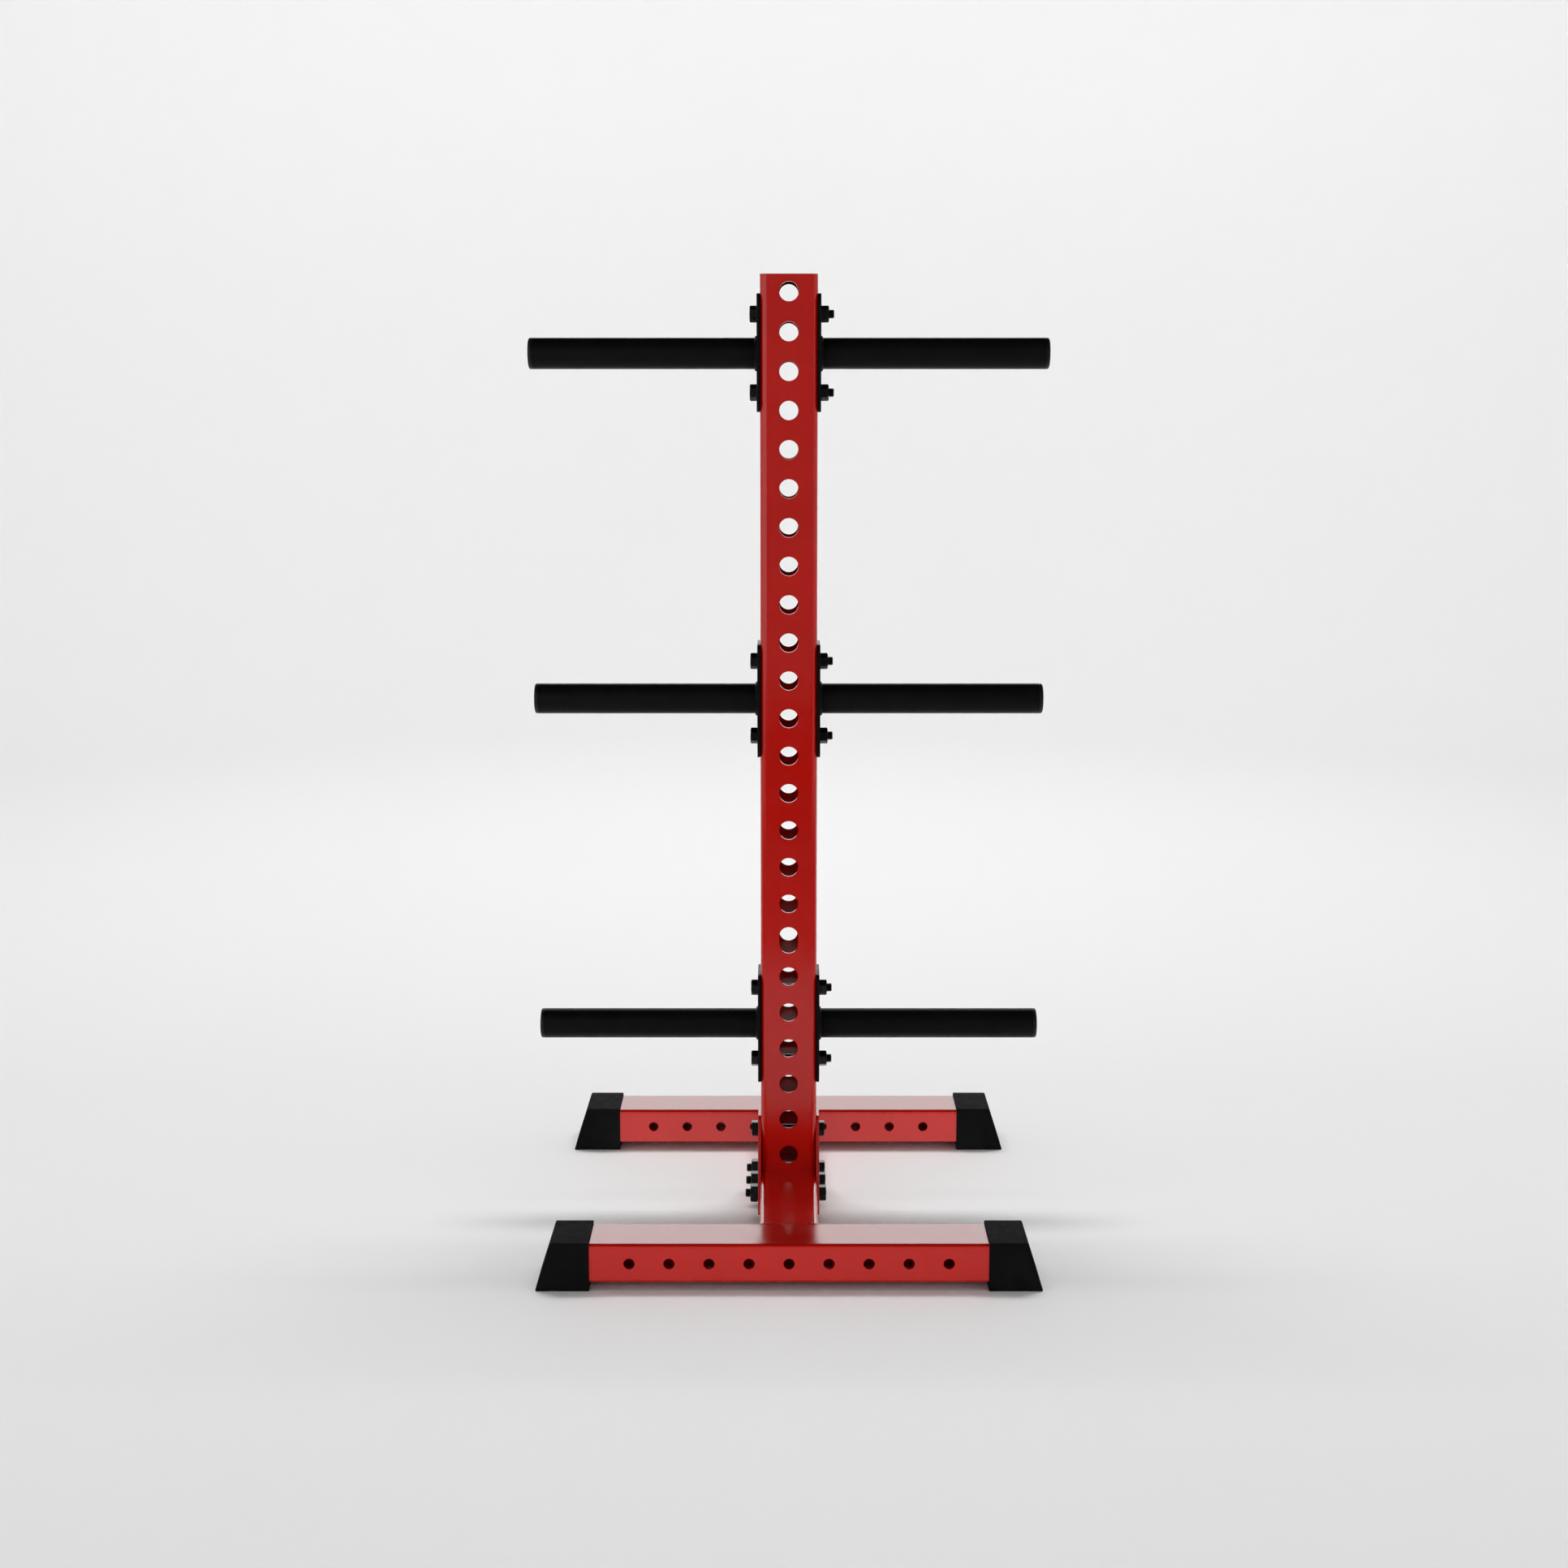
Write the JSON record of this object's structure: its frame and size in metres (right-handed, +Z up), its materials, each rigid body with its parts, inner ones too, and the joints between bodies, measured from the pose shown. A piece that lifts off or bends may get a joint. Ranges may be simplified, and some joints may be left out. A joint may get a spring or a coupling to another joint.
{
  "type": "weight plate storage rack",
  "caption": "Free-standing rack: a punched square upright bolted to an H-shaped base with rubber boots, with round pegs standing out on both sides to hold weight plates.",
  "frame": {"origin": "on the floor under the middle of the upright", "axes": "+X along the right-hand pegs, +Y from the front foot to the rear foot, +Z up the upright"},
  "size_m": [0.675, 0.611, 1.257],
  "materials": {
    "red_powder_coat": "gloss powder coat",
    "black_powder_coat": "satin powder coat",
    "black_plastic": "fine matt",
    "boot_rubber": "matt moulded",
    "black_steel": "black oxide"
  },
  "bodies": {
    "root": {"base_beam": "red_powder_coat", "bottom_left_bracket_plate": "black_powder_coat", "bottom_left_peg_end_cap": "black_plastic", "bottom_left_peg_tube": "black_powder_coat", "bottom_left_peg_weld": "black_powder_coat", "bottom_lower_bracket_bolt": "black_steel", "bottom_lower_bracket_nut": "black_steel", "bottom_right_bracket_plate": "black_powder_coat", "bottom_right_peg_end_cap": "black_plastic", "bottom_right_peg_tube": "black_powder_coat", "bottom_right_peg_weld": "black_powder_coat", "bottom_upper_bracket_bolt": "black_steel", "bottom_upper_bracket_nut": "black_steel", "front_base_bolt": "black_steel", "front_base_nut": "black_steel", "front_beam_weld": "red_powder_coat", "front_foot_tube": "red_powder_coat", "front_left_foot_boot": "boot_rubber", "front_right_foot_boot": "boot_rubber", "gusset_top_bolt": "black_steel", "gusset_top_nut": "black_steel", "left_gusset": "red_powder_coat", "middle_base_bolt": "black_steel", "middle_base_nut": "black_steel", "middle_left_bracket_plate": "black_powder_coat", "middle_left_peg_end_cap": "black_plastic", "middle_left_peg_tube": "black_powder_coat", "middle_left_peg_weld": "black_powder_coat", "middle_lower_bracket_bolt": "black_steel", "middle_lower_bracket_nut": "black_steel", "middle_right_bracket_plate": "black_powder_coat", "middle_right_peg_end_cap": "black_plastic", "middle_right_peg_tube": "black_powder_coat", "middle_right_peg_weld": "black_powder_coat", "middle_upper_bracket_bolt": "black_steel", "middle_upper_bracket_nut": "black_steel", "rear_base_bolt": "black_steel", "rear_base_nut": "black_steel", "rear_beam_weld": "red_powder_coat", "rear_foot_tube": "red_powder_coat", "rear_left_foot_boot": "boot_rubber", "rear_right_foot_boot": "boot_rubber", "right_gusset": "red_powder_coat", "top_left_bracket_plate": "black_powder_coat", "top_left_peg_end_cap": "black_plastic", "top_left_peg_tube": "black_powder_coat", "top_left_peg_weld": "black_powder_coat", "top_lower_bracket_bolt": "black_steel", "top_lower_bracket_nut": "black_steel", "top_right_bracket_plate": "black_powder_coat", "top_right_peg_end_cap": "black_plastic", "top_right_peg_tube": "black_powder_coat", "top_right_peg_weld": "black_powder_coat", "top_upper_bracket_bolt": "black_steel", "top_upper_bracket_nut": "black_steel", "upright": "red_powder_coat", "upright_top_plug": "black_plastic"}
  },
  "joints": []
}
